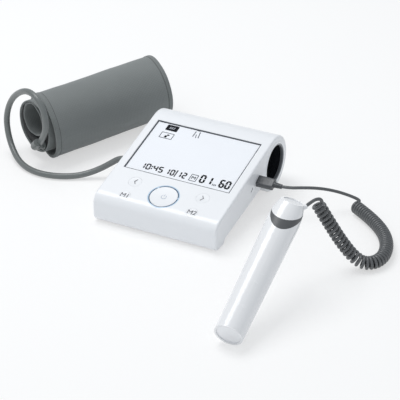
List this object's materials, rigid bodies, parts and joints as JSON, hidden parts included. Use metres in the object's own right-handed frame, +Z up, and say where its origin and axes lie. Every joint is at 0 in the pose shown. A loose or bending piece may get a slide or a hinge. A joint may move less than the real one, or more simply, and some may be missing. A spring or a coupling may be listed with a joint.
{
  "type": "upper arm blood pressure monitor",
  "caption": "Home upper arm blood pressure monitor: wedge console with display and keys, rolled cuff on an air hose, and a hand-held sensor stick on a curly lead.",
  "frame": {"origin": "on the table, under the middle of the front foot of the console", "axes": "+X to the right across the console, +Y from its front to its back, +Z up"},
  "size_m": [0.4346, 0.3719, 0.087],
  "materials": {
    "housing_white": "glossy white moulding",
    "key_white": "glossy white moulding",
    "light_ring_blue": "dark blue translucent moulding",
    "frame_grey": "fine matt",
    "window_clear": "polished",
    "lcd_pale": "pale bluish display",
    "backlight_white": "diffusing",
    "board_green": "solder mask",
    "screw_steel": "plated",
    "spring_steel": "nickel plated",
    "part_black": "matt moulding",
    "valve_grey": "matt moulding",
    "tube_clear": "soft tubing",
    "cell_jacket": "plain jacket",
    "store_dark": "glossy dark moulding",
    "ring_pale": "glossy moulding",
    "foot_rubber": "matt",
    "plug_dark": "soft matt",
    "plug_steel": "plated",
    "lead_dark": "satin",
    "stick_white": "glossy white moulding",
    "stick_grey": "fine matt",
    "electrode_steel": "polished",
    "cuff_cloth": "woven nylon",
    "cuff_hem": "woven tape",
    "bladder_black": "matt",
    "hose_grey": "satin",
    "air_plug_grey": "matt moulding"
  },
  "bodies": {
    "monitor": {"upper_housing": "housing_white", "lower_housing": "housing_white", "display_window": "window_clear", "display_frame": "frame_grey", "lcd_glass": "lcd_pale", "backlight_panel": "backlight_white", "main_board": "board_green", "board_screws": "screw_steel", "start_light_ring": "light_ring_blue", "key_switches": "part_black", "pump_motor": "screw_steel", "pump_head": "part_black", "air_manifold": "valve_grey", "exhaust_valve": "valve_grey", "air_tubes": "tube_clear", "air_socket": "frame_grey", "pressure_sensor": "part_black", "buzzer": "part_black", "batteries": "cell_jacket", "battery_contacts": "spring_steel", "stick_tube": "store_dark", "tube_mouth_ring": "ring_pale", "usb_socket": "part_black", "side_slot_insert": "part_black", "housing_screws": "screw_steel", "front_foot": "foot_rubber", "rear_foot": "foot_rubber", "usb_plug_body": "plug_dark", "usb_plug_shell": "plug_steel", "plug_strain_relief": "plug_dark", "lead_straight": "lead_dark", "lead_coil": "lead_dark", "lead_tail": "lead_dark", "lead_gland": "stick_white", "stick_shell": "stick_white", "stick_grip_inlay": "stick_grey", "stick_cap": "stick_white", "stick_end_ring": "stick_white", "upper_electrode": "electrode_steel", "lower_electrode": "electrode_steel", "stick_board": "board_green", "cuff_outer": "cuff_cloth", "cuff_edge_binding": "cuff_hem", "cuff_inner_wrap": "cuff_cloth", "cuff_bladder": "bladder_black", "cuff_lining": "cuff_cloth", "hose_port": "air_plug_grey", "air_hose": "hose_grey", "air_plug": "air_plug_grey"},
    "start_button": {"start_button": "key_white"},
    "previous_key": {"previous_key": "key_white"},
    "next_key": {"next_key": "key_white"},
    "memory_key_1": {"memory_key_1": "key_white"},
    "memory_key_2": {"memory_key_2": "key_white"},
    "battery_cover": {"battery_cover": "housing_white"}
  },
  "joints": [
    {"name": "start_button_press", "type": "slide", "parent": "monitor", "child": "start_button", "axis": [0, 0.2215, -0.9751], "range_m": [0, 0.0006], "stiffness_N_per_m": 400, "springref_m": -0.0003},
    {"name": "previous_key_press", "type": "slide", "parent": "monitor", "child": "previous_key", "axis": [0, 0.2215, -0.9751], "range_m": [0, 0.0006], "stiffness_N_per_m": 400, "springref_m": -0.0003},
    {"name": "next_key_press", "type": "slide", "parent": "monitor", "child": "next_key", "axis": [0, 0.2215, -0.9751], "range_m": [0, 0.0006], "stiffness_N_per_m": 400, "springref_m": -0.0003},
    {"name": "memory_key_1_press", "type": "slide", "parent": "monitor", "child": "memory_key_1", "axis": [0, 0.2215, -0.9751], "range_m": [0, 0.0006], "stiffness_N_per_m": 400, "springref_m": -0.0003},
    {"name": "memory_key_2_press", "type": "slide", "parent": "monitor", "child": "memory_key_2", "axis": [0, 0.2215, -0.9751], "range_m": [0, 0.0006], "stiffness_N_per_m": 400, "springref_m": -0.0003},
    {"name": "battery_cover_swing", "type": "hinge", "parent": "monitor", "child": "battery_cover", "pos_m": [0, 0.06528, 0.01543], "axis": [1, 0, 0], "range_deg": [0, 75]}
  ]
}
